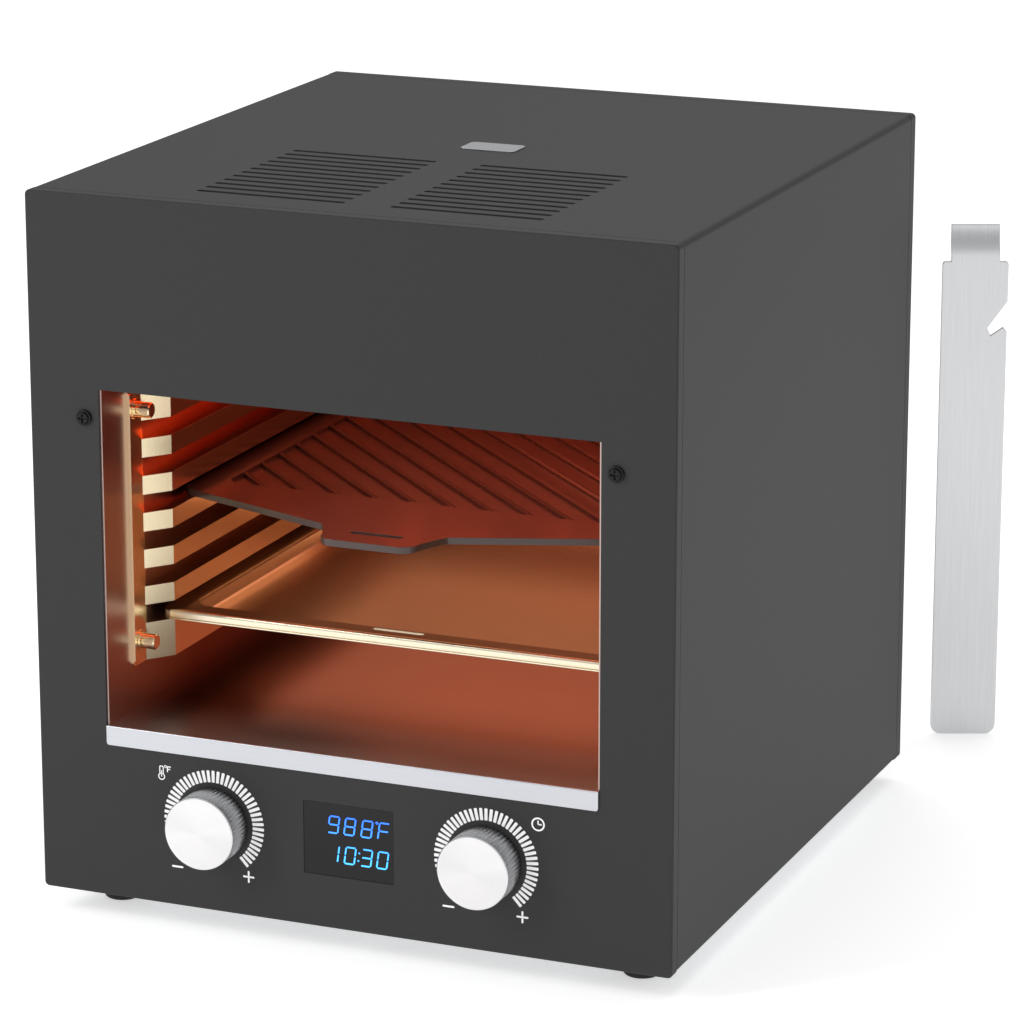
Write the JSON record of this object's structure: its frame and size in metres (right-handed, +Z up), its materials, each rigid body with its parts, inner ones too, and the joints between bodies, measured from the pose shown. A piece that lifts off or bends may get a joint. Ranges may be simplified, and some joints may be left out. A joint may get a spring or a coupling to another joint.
{
  "type": "countertop infrared oven",
  "caption": "Open-front countertop infrared steak oven with push-and-turn controls, display, rack guides, griddle plate, drip tray and a loose lifting tool.",
  "frame": {"origin": "on the worktop, under the middle of the case", "axes": "+X to the right as seen from the front, +Y towards the back, +Z up"},
  "size_m": [0.3665, 0.477, 0.3731],
  "materials": {
    "case_paint": "fine-texture matt charcoal powder coat",
    "rear_paint": "matt charcoal powder coat",
    "zinc_steel": "galvanised steel sheet",
    "foot_rubber": "moulded black rubber",
    "zinc_fastener": "zinc-plated steel",
    "black_screw": "black oxide, glossy",
    "liner_steel": "brushed stainless sheet",
    "floor_steel": "brushed stainless sheet",
    "guide_steel": "pressed stainless sheet",
    "heater_sheath": "heat-browned nickel-alloy sheath",
    "bush_ceramic": "unglazed steatite",
    "terminal_brass": "plain brass",
    "ceramic_wool": "ceramic-fibre blanket",
    "probe_steel": "drawn stainless tube",
    "black_phenolic": "moulded black phenolic",
    "circuit_board": "green solder mask",
    "display_lens": "smoked polycarbonate, polished",
    "control_body": "nickel-plated steel",
    "terminal_plastic": "moulded nylon",
    "fan_plastic": "moulded PBT",
    "inlet_plastic": "moulded black nylon",
    "mains_lead": "insulated wire",
    "heater_lead": "glass-braid sleeving",
    "sensor_lead": "silicone-insulated wire",
    "ribbon": "flat ribbon cable",
    "badge_aluminium": "satin aluminium",
    "nylon": "moulded nylon",
    "shaft_steel": "turned steel",
    "knob_aluminium": "turned aluminium, radial-brushed face",
    "tray_steel": "pressed stainless sheet",
    "griddle_enamel": "dark enamel on cast plate",
    "tool_steel": "brushed stainless sheet",
    "dial_ink": "white screen print",
    "display_light": "blue light of the display digits"
  },
  "bodies": {
    "oven": {"outer_shell": "case_paint", "front_panel": "case_paint", "rear_panel": "rear_paint", "base_pan": "zinc_steel", "rubber_feet": "foot_rubber", "foot_screws": "zinc_fastener", "base_screws": "zinc_fastener", "rear_screws": "black_screw", "front_screws": "black_screw", "chamber_left_wall": "liner_steel", "chamber_right_wall": "liner_steel", "chamber_back_wall": "liner_steel", "chamber_floor": "floor_steel", "chamber_ceiling": "liner_steel", "chamber_supports": "zinc_steel", "left_rack_guide": "guide_steel", "right_rack_guide": "guide_steel", "guide_studs": "guide_steel", "guide_nuts": "zinc_fastener", "left_heating_element": "heater_sheath", "right_heating_element": "heater_sheath", "heater_hangers": "liner_steel", "heater_bushings": "bush_ceramic", "heater_terminals": "terminal_brass", "top_insulation": "ceramic_wool", "left_insulation": "ceramic_wool", "right_insulation": "ceramic_wool", "rear_insulation": "ceramic_wool", "floor_insulation": "ceramic_wool", "temperature_probe": "probe_steel", "thermal_cutout": "black_phenolic", "control_board": "circuit_board", "board_standoffs": "terminal_brass", "display_module": "black_phenolic", "display_window": "display_lens", "temperature_encoder": "control_body", "timer_encoder": "control_body", "encoder_nuts": "zinc_fastener", "power_board": "circuit_board", "power_board_posts": "terminal_brass", "power_relays": "black_phenolic", "terminal_block": "terminal_plastic", "fan_frame": "fan_plastic", "power_inlet": "inlet_plastic", "mains_leads": "mains_lead", "heater_leads": "heater_lead", "probe_lead": "sensor_lead", "control_cable": "ribbon", "badge_plate": "badge_aluminium"},
    "temperature_plunger": {"temperature_plunger": "nylon"},
    "temperature_knob": {"temperature_shaft": "shaft_steel", "temperature_knob": "knob_aluminium"},
    "timer_plunger": {"timer_plunger": "nylon"},
    "timer_knob": {"timer_shaft": "shaft_steel", "timer_knob": "knob_aluminium"},
    "drip_tray": {"drip_tray": "tray_steel"},
    "griddle": {"griddle_plate": "griddle_enamel"},
    "lifting_tool": {"lifting_tool": "tool_steel"},
    "fan_rotor": {"fan_rotor": "fan_plastic"}
  },
  "joints": [
    {"name": "temperature_press", "type": "slide", "parent": "oven", "child": "temperature_plunger", "axis": [0, 1, 0], "range_m": [0, 0.0008], "stiffness_N_per_m": 2500},
    {"name": "temperature_turn", "type": "hinge", "parent": "temperature_plunger", "child": "temperature_knob", "pos_m": [-0.0734, -0.19, 0.059], "axis": [0, 1, 0], "continuous": true},
    {"name": "timer_press", "type": "slide", "parent": "oven", "child": "timer_plunger", "axis": [0, 1, 0], "range_m": [0, 0.0008], "stiffness_N_per_m": 2500},
    {"name": "timer_turn", "type": "hinge", "parent": "timer_plunger", "child": "timer_knob", "pos_m": [0.0734, -0.19, 0.059], "axis": [0, 1, 0], "continuous": true},
    {"name": "tray_slide", "type": "slide", "parent": "oven", "child": "drip_tray", "axis": [0, -1, 0], "range_m": [0, 0.33]},
    {"name": "griddle_slide", "type": "slide", "parent": "oven", "child": "griddle", "axis": [0, -1, 0], "range_m": [0, 0.33]},
    {"name": "tool_lift", "type": "slide", "parent": "oven", "child": "lifting_tool", "axis": [0, 0, 1], "range_m": [0, 0.3]},
    {"name": "fan_spin", "type": "hinge", "parent": "oven", "child": "fan_rotor", "pos_m": [-0.062, 0.1715, 0.0521], "axis": [0, 1, 0], "continuous": true}
  ]
}
